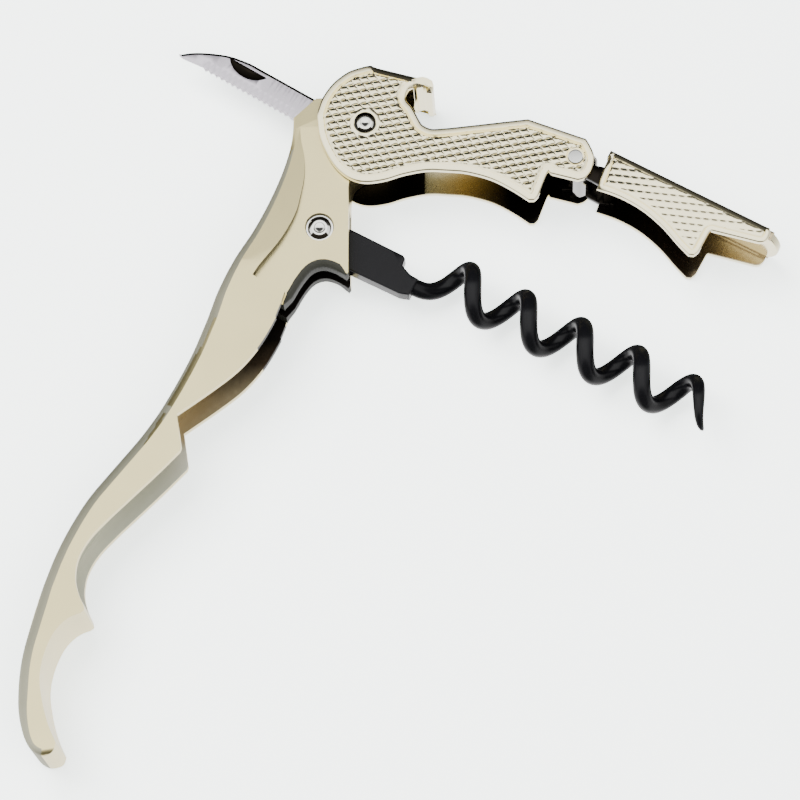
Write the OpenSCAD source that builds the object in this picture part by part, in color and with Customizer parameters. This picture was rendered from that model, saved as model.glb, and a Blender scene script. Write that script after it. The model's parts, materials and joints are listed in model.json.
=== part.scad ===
// Double-hinged waiter's corkscrew, opened out and lying on its side.
// The origin is under the middle of the opened tool, on the surface that it lies on.
// X and Y span the flat of the tool, +Z is its thickness. Its outlines are drawn
// around the main pivot, and in_frame() moves each finished node to the origin.

/* [Body] */
// Overall thickness of the handle and of both levers
thickness = 12; // [12:0.1:12.4]
// Thickness of the lever plates and of the handle's side walls
plate_t = 1.2; // [1.0:0.05:1.25]
// Recess from a lever plate's inner face to the bolster
side_gap = 0.3; // [0.25:0.05:0.35]

/* [Worm] */
// Diameter of the worm's wire
wire_d = 2.75; // [2.6:0.05:2.8]
// Outer diameter of the worm
worm_od = 9.0; // [8.8:0.05:9.0]
// Pitch of the worm
worm_pitch = 9.75; // [9.5:0.05:9.8]
// Number of turns of the worm
worm_turns = 5; // [3:1:5]
// Thickness of the flat tang
tang_t = 3.0; // [2.8:0.1:3.1]

/* [Knife] */
// Thickness of the blade
blade_t = 1.0; // [0.8:0.05:1.0]
// Distance from the main pivot to the point of the blade
blade_reach = 33; // [30:0.5:33]

/* [Pivots] */
// Radius of the main and worm rivet shanks
pin_r = 1.5; // [1.4:0.05:1.5]
// Radius of the lever hinge rivet's shank
hinge_pin_r = 0.95; // [0.8:0.05:1.0]
// Radial running clearance in every pivot bore
run = 0.05; // [0.03:0.01:0.08]

/* [Hidden] */
$fn = 64;
mid = thickness / 2;
bolster_z = plate_t + side_gap;
bolster_t = thickness - 2 * bolster_z;

// middle of the opened tool, seen from the main pivot
middle = [6.35, -42.515, 0];
module in_frame() {
    translate(-middle) children();
}
// pivots, seen from the main pivot
worm_pivot = [-7.1, -16.7];
hinge = [32.7, -6.2];

// directions of the worm, open and folded away, and of the open blade
worm_open = -28.4;
worm_closed = -124.4;
knife_open = 148.5;

// colours
nickel = [0.86, 0.85, 0.74];
chrome = [0.82, 0.83, 0.82];
steel = [0.70, 0.70, 0.74];
black = [0.06, 0.06, 0.07];
brass = [0.78, 0.62, 0.33];

// ---- curves ----
function bend(a, b, c, d, t) =
    0.5 * (2 * b + (c - a) * t + (2 * a - 5 * b + 4 * c - d) * t * t
    + (3 * b - a - 3 * c + d) * t * t * t);
// a smooth open curve through the points, n steps between neighbours
function curve(p, n = 5) = concat(
    [for (i = [0 : len(p) - 2], k = [0 : n - 1])
        bend(p[max(i - 1, 0)], p[i], p[i + 1], p[min(i + 2, len(p) - 1)], k / n)],
    [p[len(p) - 1]]);
function unit(v) = v / norm(v);
// unit normal at point i of a polyline, on the left of its direction
function side(p, i) =
    let (d = unit(p[min(i + 1, len(p) - 1)] - p[max(i - 1, 0)])) [-d[1], d[0]];
function shifted(p, by) = [for (i = [0 : len(p) - 1]) p[i] + by * side(p, i)];
function reversed(p) = [for (i = [len(p) - 1 : -1 : 0]) p[i]];
// a strip of even thickness on the left of a polyline
function strip(p, t) = concat(p, reversed(shifted(p, t)));
function polar(r, a) = [r * cos(a), r * sin(a)];
function arc(r, a, b, n = 16) = [for (i = [0 : n]) polar(r, a + (b - a) * i / n)];

// ---- handle ----
// the back edge, from the top corner down to the tip of the tail
back = curve([[-11.3, 1.5], [-11.5, -2], [-12.7, -6.7], [-14.7, -11.8], [-17.3, -17],
    [-20.2, -21.7], [-22.7, -26.8], [-24.7, -32.4], [-27.2, -38.4], [-30.8, -45.2],
    [-34, -50], [-37.8, -54.7], [-42.2, -60.2], [-45.7, -66.4], [-48.1, -72.4],
    [-50, -78.8], [-51.4, -85], [-51.7, -91], [-51.0, -95.3], [-49.7, -98.3],
    [-47.8, -99.6], [-46.1, -99.1], [-45.6, -97.8]]);
// the inner edge, from the tail up to the foot of the bolster
tail_inside = curve([[-45.6, -97.8], [-46.8, -95.1], [-47.8, -91.6], [-48.3, -87.8],
    [-47.7, -84.2], [-46.3, -81], [-44.4, -79], [-42.4, -78.1]]);
waist = curve([[-42, -77], [-42.9, -75], [-43.4, -72.6], [-43, -69.6], [-41.4, -66.6],
    [-38.6, -63.5], [-35.2, -60.2], [-31.2, -56.3], [-28, -53]]);
upper_inside = curve([[-28.6, -47.2], [-23.4, -43.5], [-19.4, -40.3], [-16.4, -36.8],
    [-14.1, -32.9], [-12.5, -29.3]]);
arch = curve([[-11.3, -28], [-9.8, -25.4], [-8.3, -23.6], [-6.6, -23], [-4.8, -23.5],
    [-2.9, -24.7]]);
head_r = 6.4;
neck = curve([[-2.6, -24.2], [-2.6, -19], [-2.6, -13], [-2.6, -9.8], [-2, -7.7],
    [-0.4, -6.4]]);
head = arc(head_r, -90, 120, 24);
crown = [[-5.2, 4.9], [-7.8, 4.8]];
inside = concat(tail_inside, [[-41.9, -77.7]], waist, [[-27.8, -52.4], [-28.5, -47.6]],
    upper_inside, arch, neck, head, crown);

// the strip along the back of the bolster slopes down to it from the crease
crease_y = -22.5;
strip_top_y = 0;
// the line where the strip meets the bolster follows the closed first lever
ridge = curve([[-8.6, 6.6], [-9.9, 3.3], [-10.2, -1.2], [-9.6, -5], [-9.5, -8.4],
    [-10.1, -12], [-10.9, -15], [-13, -19], [-16.2, -23.2], [-17.1, -24.6]]);
step_r = 30.3;
// the recess on each side that the first lever's plate folds into
recess = concat(ridge, arc(step_r, -124.8, -113.9, 8), [[-12.9, -29.6], [-13.7, -31.7],
    [-12.6, -34], [0, -31], [14, -20], [14, 14], [-8, 14]]);

// the worm's own direction when it is folded away
fold_u = polar(1, worm_closed);
fold_n = [-fold_u[1], fold_u[0]];
function folded(s, n) = worm_pivot + s * fold_u + n * fold_n;

axis_off = 2.6;
coil_r = (worm_od - wire_d) / 2;
coil_clear = 0.3;
bay_in = axis_off - worm_od / 2 - coil_clear;
// hollow for the folded worm, open along the inner edge
bay = [folded(13.6, bay_in), folded(56, bay_in), folded(64.5, bay_in + 0.2),
    folded(69.2, -0.8), folded(70, 2), folded(66, 9), folded(40, 26), folded(13.6, 26)];
slot_t = tang_t + 0.6;
tang_low = -3.3;
slot = concat([for (a = [90 : 11 : 145]) worm_pivot + polar(3.6, a)],
    [folded(4, tang_low - 0.8), folded(13, tang_low - 0.7), folded(26.5, -3)],
    [folded(26.5, -1), folded(13.7, -1), folded(13.7, 26), [6, -40], [6, -13.1]]);
// slot for the knife, open along the back
knife_slot_t = blade_t + 0.6;
knife_shut = 223.5;
function shut(t, n) = t * polar(1, knife_shut) + n * polar(1, knife_shut - 90);
knife_slot = concat(arc(3.4, -45, 15, 6), [[-2, 8], [-14, 8], [-30, -12]],
    [shut(blade_reach + 0.6, 8), shut(blade_reach + 0.6, -3.9), shut(10, -3.9)]);

module both_sides() {
    children();
    translate([0, 0, thickness]) mirror([0, 0, 1]) children();
}

module handle_body() {
    color(nickel) in_frame() difference() {
        linear_extrude(thickness) polygon(concat(back, inside));
        // recess for the first lever's plates
        both_sides() translate([0, 0, -1]) linear_extrude(bolster_z + 1) polygon(recess);
        // slope of the strip behind the recess
        both_sides() translate([0, crease_y, 0])
            rotate([atan(bolster_z / (strip_top_y - crease_y)), 0, 0])
            translate([-30, 0, -6]) cube([40, 34, 6]);
        translate([0, 0, plate_t]) linear_extrude(thickness - 2 * plate_t) polygon(bay);
        translate([0, 0, mid - slot_t / 2]) linear_extrude(slot_t) polygon(slot);
        translate([0, 0, mid - knife_slot_t / 2]) linear_extrude(knife_slot_t)
            polygon(knife_slot);
        translate([0, 0, -1]) cylinder(r = pin_r + run, h = thickness + 2);
        translate([worm_pivot[0], worm_pivot[1], -1])
            cylinder(r = pin_r, h = thickness + 2);
        both_sides() translate([worm_pivot[0], worm_pivot[1], -1])
            cylinder(r = worm_dish_r, h = bolster_z + 1 + dish_depth);
        on_bay_floor(spring_rivet_at, -4.2) cylinder(r = spring_rivet_r, h = 3);
    }
}

// ---- worm spring ----
spring_t = 0.4;
spring_w = 3.2;
spring_rivet_r = 0.6;
spring_rivet_at = 23;
spring_line = curve([folded(5.6, -3.85), folded(9, -3.88), folded(13, -3.8), folded(16, -3.35),
    folded(21, -2.9), folded(25.8, -2.8)]);
// places its children on the floor of the bay, +Z away from the floor
module on_bay_floor(s, n) {
    at = folded(s, n);
    translate([at[0], at[1], mid]) rotate([0, 0, worm_closed + 90]) rotate([0, 90, 0]) children();
}
module worm_detent_spring() {
    color(steel) in_frame() difference() {
        translate([0, 0, mid - spring_w / 2]) linear_extrude(spring_w)
            polygon(strip(spring_line, spring_t));
        on_bay_floor(spring_rivet_at, -6) cylinder(r = spring_rivet_r, h = 6);
    }
}
module spring_rivet() {
    color(steel) in_frame() {
        on_bay_floor(spring_rivet_at, -4.2) cylinder(r = spring_rivet_r, h = 1.9);
        on_bay_floor(spring_rivet_at, -2.4) cylinder(r = 1, h = 0.25);
    }
}

// ---- rivets and washers ----
dish_depth = 0.55;
main_dish_r = 1.95;
worm_dish_r = 2.25;
head_h = 0.4;
// a shank with a low head in a dished seat at each end
module rivet(shank_r, rim_r, low, high) {
    translate([0, 0, low]) cylinder(r = shank_r, h = high - low);
    translate([0, 0, low]) cylinder(r = rim_r, h = head_h);
    translate([0, 0, high - head_h]) cylinder(r = rim_r, h = head_h);
}
module main_pivot_rivet() {
    color(chrome) in_frame() rivet(pin_r, main_dish_r - 0.3, 0.1, thickness - 0.1);
}
module worm_pivot_rivet() {
    color(chrome) in_frame() translate([worm_pivot[0], worm_pivot[1], 0])
        rivet(pin_r, worm_dish_r - 0.45, bolster_z + 0.1, thickness - bolster_z - 0.1);
}
// a pair of thin washers, at equal distances from the middle plane
module washer_pair(outer, inner, from_mid, t) {
    for (z = [mid - from_mid - t, mid + from_mid]) translate([0, 0, z]) difference() {
        cylinder(r = outer, h = t);
        translate([0, 0, -1]) cylinder(r = inner, h = t + 2);
    }
}
washer_t = 0.2;
module main_pivot_washers() {
    color(brass) in_frame() washer_pair(3.2, pin_r + run, bolster_t / 2 + 0.05, washer_t);
}
module knife_washers() {
    color(brass) in_frame() washer_pair(2.9, pin_r + run, blade_t / 2 + 0.05, washer_t);
}
module worm_washers() {
    color(brass) in_frame() translate([worm_pivot[0], worm_pivot[1], 0])
        washer_pair(2.7, pin_r + run, tang_t / 2 + 0.05, washer_t);
}

// ---- worm ----
coil_start = 18.2;
module worm_frame() {
    translate([worm_pivot[0], worm_pivot[1], mid]) rotate([0, 0, worm_open]) children();
}
wire_low = axis_off - coil_r;
tang = concat(arc(3.2, 100, 260, 12), [[3, tang_low]],
    curve([[9, tang_low], [13, tang_low + 0.05], [15.4, -3], [17, -2.5]]),
    [[17, wire_low + 1]],
    curve([[17, wire_low + 1], [15.6, wire_low + 1.1], [14.5, 0.9], [13.8, 1.3]]),
    [[13.6, 2.5], [13.1, 2.8], [3.4, 2.8]]);
module worm_tang() {
    color(black) in_frame() worm_frame() difference() {
        translate([0, 0, -tang_t / 2]) linear_extrude(tang_t) polygon(tang);
        translate([0, 0, -2]) cylinder(r = pin_r + run, h = 4);
    }
}
// centre line of the wire, its lead-in from the tang and its tapered point
coil_steps = 14;
coil_n = worm_turns * coil_steps;
lead = [[15.2, wire_low - 0.9, 0], [16.2, wire_low - 0.5, 0.02], [17.2, wire_low - 0.14, 0.02]];
function coil_at(i) = let (a = 360 * i / coil_steps)
    [coil_start + worm_pitch * i / coil_steps, axis_off - coil_r * cos(a), -coil_r * sin(a)];
wire_line = concat(lead, [for (i = [0 : coil_n]) coil_at(i)]);
wire_n = len(wire_line);
taper_n = 9;
function wire_r(i) = let (left = wire_n - 1 - i)
    left < taper_n ? wire_d / 2 * (0.12 + 0.88 * sqrt(left / taper_n)) : wire_d / 2;
function tangent(i) = unit(wire_line[min(i + 1, wire_n - 1)] - wire_line[max(i - 1, 0)]);
wire_sides = 12;
function ring(i) = let (t = tangent(i), a = unit(cross(t, [0.3, 0.2, 1])), b = cross(t, a))
    [for (k = [0 : wire_sides - 1]) wire_line[i]
        + wire_r(i) * (a * cos(360 * k / wire_sides) + b * sin(360 * k / wire_sides))];
module worm_helix() {
    m = wire_sides;
    pts = [for (i = [0 : wire_n - 1]) each ring(i)];
    skin = [for (i = [0 : wire_n - 2], k = [0 : m - 1]) let (l = (k + 1) % m)
        [i * m + k, i * m + l, (i + 1) * m + l, (i + 1) * m + k]];
    color(black) in_frame() worm_frame() polyhedron(pts, concat([[for (k = [m - 1 : -1 : 0]) k]], skin,
        [[for (k = [0 : m - 1]) (wire_n - 1) * m + k]]));
}

// ---- knife ----
blade_top = 1.05;
blade_low = -3.6;
teeth_from = 12;
teeth_to = 29;
tooth_pitch = 1;
serration = [for (t = [teeth_from : tooth_pitch : teeth_to - tooth_pitch])
    each [[t, blade_low], [t + tooth_pitch * 0.65, blade_low + 0.35]]];
blade = concat(arc(2.9, 200, 70, 12), [[5, blade_top + 0.4], [9, blade_top]],
    curve([[22, blade_top], [25.5, 0.55], [28.6, -0.6], [31.2, -2], [blade_reach - 0.3, -3.2]]),
    [[blade_reach, blade_low + 0.1], [blade_reach - 0.8, blade_low]],
    [for (i = [len(serration) - 1 : -1 : 0]) serration[i]], [[6, blade_low], [2, -2.9]]);
nick_at = 21.6;
nick_r = 4.2;
module knife_blade() {
    color(steel) in_frame() translate([0, 0, mid - blade_t / 2])
        rotate([0, 0, knife_open]) mirror([0, 1, 0]) difference() {
            linear_extrude(blade_t) polygon(blade);
            translate([0, 0, -1]) cylinder(r = pin_r + run, h = blade_t + 2);
            translate([0, 0, blade_t - 0.35]) intersection() {
                translate([nick_at, blade_top + 0.6, 0]) scale([1, 0.75, 1]) cylinder(r = nick_r, h = 1);
                translate([nick_at - 5, -6, 0]) cube([10, 6 + blade_top - 0.7, 1]);
            }
        }
}

// ---- first lever ----
// head of the plate, clockwise from the cap lifter round to the lower edge
lever_crown = curve([[-7.5, 1.6], [-6.7, 4.2], [-5, 6.7], [-2.6, 8.6], [0.9, 9.7]]);
cap_notch = curve([[7.4, 6.2], [6.5, 5], [6.4, 3.7], [7.3, 2.5], [8.1, 1], [8.9, -0.5],
    [10.2, -1.2]]);
neck_top = curve([[10.2, -1.2], [13.3, -1.1], [18.8, -0.5], [25.4, 0.15]]);
hinge_end = concat([[34.4, -3.3]], curve([[34.9, -4.2], [35.6, -6.2], [35.2, -8.4],
    [34.2, -9.7], [33, -10.1]]));
rim_step_1 = [[28.7, -8.9], [28.5, -8.5], [28, -9.6], [26.8, -12.7], [26.2, -13.3], [25.4, -13.3]];
lever_low = curve([[25.4, -13.3], [22.7, -11.4], [19.6, -9.7], [16, -8.6], [12.8, -8.2],
    [9.4, -8.1], [6, -8.7], [3, -9.6], [0, -9.9], [-2.4, -9.2], [-4.5, -7.4], [-6.1, -4.8],
    [-7.2, -1.8], [-7.5, 1.6]]);
lever_1 = concat(lever_crown, [[8.4, 6.9]], cap_notch, neck_top, hinge_end, rim_step_1, lever_low);
crown_web = concat([for (i = [11 : len(lever_crown) - 1]) lever_crown[i]], [[8.4, 6.9]]);
lip = [[8, 7.05], [9.3, 7.35], [10.5, 6.9], [10.7, 5.9], [10.4, 5.1], [9.6, 5.2], [9.5, 6],
    [8.9, 6.2], [7.5, 5.9]];
shoulder_web = [[25.4, 0.15], [34.4, -3.3]];

module channel_plates(outline) {
    both_sides() linear_extrude(plate_t) polygon(outline);
}
module web_of(line, t) {
    linear_extrude(thickness) polygon(strip(line, -t));
}
module dished_hole(at, hole_r, dish_r) {
    translate([at[0], at[1], -1]) cylinder(r = hole_r, h = thickness + 2);
    both_sides() translate([at[0], at[1], -1]) cylinder(r = dish_r, h = 1 + dish_depth);
}
module first_lever() {
    color(nickel) in_frame() difference() {
        union() {
            channel_plates(lever_1);
            web_of(crown_web, plate_t);
            web_of(shoulder_web, plate_t);
            linear_extrude(thickness) polygon(lip);
        }
        dished_hole([0, 0], pin_r + run, main_dish_r);
        dished_hole(hinge, hinge_pin_r, hinge_pin_r);
    }
}
module hinge_rivet() {
    color(chrome) in_frame() translate([hinge[0], hinge[1], 0.05])
        cylinder(r = hinge_pin_r, h = thickness - 0.1);
}
ear_gap = 0.15;
ear_t = 1.1;
ear_in = plate_t + ear_gap + ear_t;
module hinge_spacer() {
    color(chrome) in_frame() translate([hinge[0], hinge[1], ear_in + 0.1]) difference() {
        cylinder(r = 1.35, h = thickness - 2 * ear_in - 0.2);
        translate([0, 0, -1]) cylinder(r = hinge_pin_r, h = thickness);
    }
}
// the spring lies under the shoulder web, rolls round the hinge and ends in a toe
hinge_spring_t = 0.35;
roll_r = 3.4;
hinge_spring_line = curve(concat([[26.5, -1.66], [30, -3.02], [33.1, -4.2], [34.4, -4.7], [35.5, -5.1]],
    [for (a = [5 : -17 : -80]) hinge + polar(roll_r, a)], [[32.3, -9.1]]), 3);
module hinge_spring() {
    z = ear_in + 0.1;
    color(chrome) in_frame() translate([0, 0, z]) linear_extrude(thickness - 2 * z)
        polygon(strip(hinge_spring_line, -hinge_spring_t));
}

// ---- second lever ----
lever_2_top = [[38.2, -5.1], [62.4, -18.35]];
tip_end = curve([[62.4, -18.35], [62.3, -19.6], [61.5, -20.6], [60.5, -20.7]]);
rim_step_2 = [[53.4, -18.7], [53.1, -18.9], [51.4, -22], [50.6, -22.7], [49.8, -22.6]];
lever_2_low = curve([[49.8, -22.6], [48.2, -20.8], [45.8, -17.8], [42.8, -15], [39.4, -12.9],
    [35.9, -11.5]]);
lever_2 = concat([lever_2_top[0]], tip_end, rim_step_2, lever_2_low);
function from_hinge(r, a) = hinge + polar(r, a);
ear_r = 2.0;
arm = [from_hinge(1.95, -22), from_hinge(5.1, -17), from_hinge(7, -16), from_hinge(7, -41),
    from_hinge(5.4, -50), from_hinge(1.95, -100)];
tail = [from_hinge(1.9, 120), from_hinge(3.7, 162), from_hinge(3.7, 180), from_hinge(2.9, 225),
    from_hinge(1.95, -80)];
tongue_r = 6.6;
module ear() {
    translate([hinge[0], hinge[1], 0]) cylinder(r = ear_r, h = ear_t);
    linear_extrude(ear_t) polygon(arm);
    linear_extrude(ear_t) polygon(tail);
}
// step from the ear out to the full width of the channel
joggle = [from_hinge(5.75, 9), from_hinge(7.4, 4), from_hinge(7.6, -38), from_hinge(5.75, -44)];
module second_lever() {
    color(nickel) in_frame() difference() {
        union() {
            channel_plates(lever_2);
            web_of(lever_2_top, plate_t);
            both_sides() translate([0, 0, plate_t + ear_gap]) ear();
            both_sides() linear_extrude(ear_in) intersection() {
                polygon(joggle);
                polygon(lever_2);
            }
            // rounded tongue at the end of the web
            translate([62.4, -18.35, mid]) rotate([0, 0, worm_open - 0.3]) rotate([90, 0, 0])
                linear_extrude(plate_t) intersection() {
                    translate([2.3 - tongue_r, 0]) circle(r = tongue_r);
                    translate([-2, -5]) square([6, 10]);
                }
        }
        translate([hinge[0], hinge[1], -1]) cylinder(r = hinge_pin_r + run, h = thickness + 2);
    }
}

handle_body();
worm_detent_spring();
spring_rivet();
main_pivot_rivet();
main_pivot_washers();
knife_blade();
knife_washers();
worm_pivot_rivet();
worm_washers();
worm_tang();
worm_helix();
first_lever();
hinge_rivet();
hinge_spacer();
hinge_spring();
second_lever();
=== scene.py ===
"""Looks of a double-hinged waiter's corkscrew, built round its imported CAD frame.

Outlines are cut from the CAD nodes at run time, in millimetres, so every piece lies where the frame says.
"""
import json
import math

import bmesh
import bpy
import numpy as np
from mathutils import Matrix, Vector
from mathutils.geometry import delaunay_2d_cdt

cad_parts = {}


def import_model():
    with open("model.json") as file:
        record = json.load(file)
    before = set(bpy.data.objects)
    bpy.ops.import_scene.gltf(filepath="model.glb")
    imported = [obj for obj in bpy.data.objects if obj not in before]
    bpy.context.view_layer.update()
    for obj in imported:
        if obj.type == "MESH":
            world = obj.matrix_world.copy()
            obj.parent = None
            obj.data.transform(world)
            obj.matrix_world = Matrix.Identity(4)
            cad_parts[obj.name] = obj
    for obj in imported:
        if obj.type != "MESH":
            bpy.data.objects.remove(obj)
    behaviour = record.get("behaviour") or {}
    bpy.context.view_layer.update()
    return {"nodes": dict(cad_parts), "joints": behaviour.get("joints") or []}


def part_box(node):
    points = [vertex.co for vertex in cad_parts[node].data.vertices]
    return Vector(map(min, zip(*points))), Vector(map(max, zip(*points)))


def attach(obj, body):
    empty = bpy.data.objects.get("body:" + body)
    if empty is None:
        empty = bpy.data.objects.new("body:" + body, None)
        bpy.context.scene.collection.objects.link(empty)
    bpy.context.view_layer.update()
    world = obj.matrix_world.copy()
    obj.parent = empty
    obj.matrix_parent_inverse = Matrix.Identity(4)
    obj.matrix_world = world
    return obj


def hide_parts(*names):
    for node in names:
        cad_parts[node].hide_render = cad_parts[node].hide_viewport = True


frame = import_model()

# ---- sizes, in millimetres, from the frame and the design ----
MM = 0.001
PLACE = {j["name"]: np.array(j["pos_m"]) / MM for j in frame["joints"]}
MAIN = PLACE["lever_swing"][:2]
WORM = PLACE["worm_fold"][:2]
HINGE = PLACE["second_lever_hinge"][:2]
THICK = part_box("handle_body")[1].z / MM
MID = THICK / 2
PLATE = 1.2
BOLSTER = 1.5
WORM_DIR = math.radians(-28.4)
KNIFE_DIR = math.radians(148.5)


# ---- outlines ----
def chain(links):
    """Closed loops of keys, from a dict of each key's neighbours."""
    loops = []
    while links:
        here = min(links)
        loop = []
        while here is not None:
            loop.append(here)
            near = links.pop(here)
            here = min((k for k in near if k in links), default=None)
        loops.append(loop)
    return loops


def link(links, a, b):
    """Makes two keys neighbours."""
    links.setdefault(a, []).append(b)
    links.setdefault(b, []).append(a)


def straighten(loop, slack=0.004):
    """The loop without the points that lie on a straight line."""
    before, after = np.roll(loop, 1, 0), np.roll(loop, -1, 0)
    d = after - before
    off = np.abs(d[:, 0] * (loop - before)[:, 1] - d[:, 1] * (loop - before)[:, 0])
    return loop[off > slack * np.maximum(np.hypot(*d.T), 1e-6)]


def section(node, z):
    """Closed outlines where a CAD node is cut at height z, material on the left."""
    mesh = frame["nodes"][node].data
    mesh.calc_loop_triangles()
    points = [tuple(c / MM for c in v.co) for v in mesh.vertices]
    links = {}
    for tri in mesh.loop_triangles:
        a, b, c = sorted(points[i] for i in tri.vertices)
        ends = set()
        for p, q in ((a, b), (a, c), (b, c)):
            if (p[2] - z) * (q[2] - z) < 0:
                t = (z - p[2]) / (q[2] - p[2])
                ends.add((round(p[0] + t * (q[0] - p[0]), 4), round(p[1] + t * (q[1] - p[1]), 4)))
        if len(ends) == 2:
            link(links, *sorted(ends))
    return oriented([straighten(np.array(loop)) for loop in chain(links) if len(loop) > 3])


def edges_of(loops):
    """Start and end points of every edge of the loops."""
    return np.vstack(loops), np.vstack([np.roll(l, -1, 0) for l in loops])


def inside(points, loops, batch=3000):
    """Whether each point is inside the loops, by the even-odd rule."""
    a, b = edges_of(loops)
    rise = np.where(b[:, 1] == a[:, 1], 1e-12, b[:, 1] - a[:, 1])
    found = np.zeros(len(points), bool)
    for s in range(0, len(points), batch):
        x, y = points[s:s + batch, 0:1], points[s:s + batch, 1:2]
        meets = a[:, 0] + (y - a[:, 1]) * (b[:, 0] - a[:, 0]) / rise
        crosses = ((a[:, 1] > y) != (b[:, 1] > y)) & (x < meets)
        found[s:s + batch] = crosses.sum(1) % 2 == 1
    return found


def distance(points, loops, batch=3000):
    """Distance from each point to the nearest edge of the loops."""
    a, b = edges_of(loops)
    d = b - a
    dd = np.maximum((d * d).sum(1), 1e-12)
    out = np.zeros(len(points))
    for s in range(0, len(points), batch):
        w = points[s:s + batch, None] - a
        t = np.clip((w * d).sum(2) / dd, 0, 1)
        r = w - t[..., None] * d
        out[s:s + batch] = np.sqrt((r * r).sum(2)).min(1)
    return out


def oriented(loops):
    """Outer loops run anticlockwise and holes clockwise."""
    out = []
    for k, loop in enumerate(loops):
        others = loops[:k] + loops[k + 1:]
        hole = bool(others) and bool(inside(loop[:1], others)[0])
        x, y = loop.T
        turns_left = (x * np.roll(y, -1) - np.roll(x, -1) * y).sum() > 0
        out.append(loop[::-1] if turns_left == hole else loop)
    return out


def smooth(loop, step=0.35, corner=27, straight=3.0):
    """The loop with its short facets turned into curves. Corners and long edges stay."""
    d = np.roll(loop, -1, 0) - loop
    size = np.hypot(*d.T)
    ahead = d / size[:, None]
    behind = np.roll(ahead, 1, 0)
    turn = np.degrees(np.abs(np.arctan2(
        behind[:, 0] * ahead[:, 1] - behind[:, 1] * ahead[:, 0], (behind * ahead).sum(1))))
    mean = (behind + ahead) / np.maximum(np.hypot(*(behind + ahead).T), 1e-9)[:, None]
    out = []
    for i in range(len(loop)):
        j = (i + 1) % len(loop)
        start = end = ahead[i]
        if size[i] <= straight:
            if turn[i] <= corner:
                start = behind[i] if size[i - 1] > straight else mean[i]
            if turn[j] <= corner:
                end = ahead[j] if size[j] > straight else mean[j]
        for t in np.arange(max(1, round(size[i] / step))) / max(1, round(size[i] / step)):
            out.append((2 * t**3 - 3 * t**2 + 1) * loop[i] + (t**3 - 2 * t**2 + t) * size[i] * start
                       + (3 * t**2 - 2 * t**3) * loop[j] + (t**3 - t**2) * size[i] * end)
    return np.array(out)


def inward(loop):
    """Unit normals that point into the material."""
    ahead = np.roll(loop, -1, 0) - loop
    ahead = ahead / np.maximum(np.hypot(*ahead.T), 1e-9)[:, None]
    mean = ahead + np.roll(ahead, 1, 0)
    mean = mean / np.maximum(np.hypot(*mean.T), 1e-9)[:, None]
    return np.stack([-mean[:, 1], mean[:, 0]], 1)


def even(loop, step):
    """The loop resampled at equal steps along its length."""
    closed = np.vstack([loop, loop[:1]])
    along = np.concatenate([[0], np.cumsum(np.hypot(*np.diff(closed, axis=0).T))])
    at = np.linspace(0, along[-1], max(8, round(along[-1] / step)), endpoint=False)
    return np.stack([np.interp(at, along, closed[:, 0]), np.interp(at, along, closed[:, 1])], 1)


def inset(loops, levels, cell=0.16, step=0.3):
    """For each level, closed outlines that lie that far inside the loops."""
    low = np.vstack(loops).min(0) - cell
    counts = np.ceil((np.vstack(loops).max(0) + cell - low) / cell).astype(int) + 1
    ij = np.stack(np.meshgrid(np.arange(counts[0]), np.arange(counts[1]), indexing="ij"), -1)
    points = low + ij.reshape(-1, 2) * cell
    deep = (distance(points, loops) * np.where(inside(points, loops), 1, -1)).reshape(counts)
    return [contour(deep - level, low, cell, step) for level in levels]


def contour(field, low, cell, step):
    """Closed outlines where a field on a square grid is zero."""
    place, cells = {}, set()
    for axis in (0, 1):
        far = np.roll(field, -1, axis)
        crossed = field * far < 0
        crossed[tuple(slice(None) if k != axis else -1 for k in (0, 1))] = False
        for i, j in np.argwhere(crossed):
            t = field[i, j] / (field[i, j] - far[i, j])
            place[(axis, i, j)] = low + cell * (np.array([i, j]) + t * np.eye(2)[axis])
            cells |= {(i, j), (i - 1, j) if axis else (i, j - 1)}
    links = {}
    for i, j in sorted(cells):
        keys = [k for k in ((0, i, j), (1, i + 1, j), (0, i, j + 1), (1, i, j)) if k in place]
        for a, b in zip(keys[::2], keys[1::2]):
            link(links, a, b)
    return [even(np.array([place[k] for k in loop]), step) for loop in chain(links) if len(loop) > 12]


# ---- meshes ----
def mesh_object(name, verts, faces, sharp=32, weighted=True):
    """A piece from points in millimetres."""
    mesh = bpy.data.meshes.new(name)
    mesh.from_pydata([tuple(c * MM for c in v) for v in verts], [], faces)
    mesh.validate()
    mesh.update()
    mesh.shade_smooth()
    mesh.set_sharp_from_angle(angle=math.radians(sharp))
    piece = bpy.data.objects.new(name, mesh)
    bpy.context.scene.collection.objects.link(piece)
    if weighted:
        piece.modifiers.new("normals", "WEIGHTED_NORMAL").keep_sharp = True
    return piece


def fill(rings, more=(), dots=None):
    """Triangles that fill closed rings, with more closed loops and loose dots inside them.
    Returns the points after the rings' own, and triangles that index all of them."""
    parts = list(rings) + list(more)
    links, start = [], 0
    for part in parts:
        n = len(part)
        links += [(start + k, start + (k + 1) % n) for k in range(n)]
        start += n
    points = np.vstack(parts + ([dots] if dots is not None and len(dots) else []))
    found, _, faces, origin, _, _ = delaunay_2d_cdt([Vector(p) for p in points], links, [], 0, 1e-6)
    count = sum(len(r) for r in rings)
    extra, index = [], []
    for p, given in zip(found, origin):
        if given and min(given) < count:
            index.append(min(given))
        else:
            index.append(count + len(extra))
            extra.append((p.x, p.y))
    flat = np.array([tuple(p) for p in found])
    tri = np.array([f for f in faces if len(f) == 3])
    keep = inside(flat[tri].mean(1), list(rings))
    faces = [[index[k] for k in f] for f in tri[keep]]
    return np.array(extra).reshape(-1, 2), [f for f in faces if len(set(f)) == 3]


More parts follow.
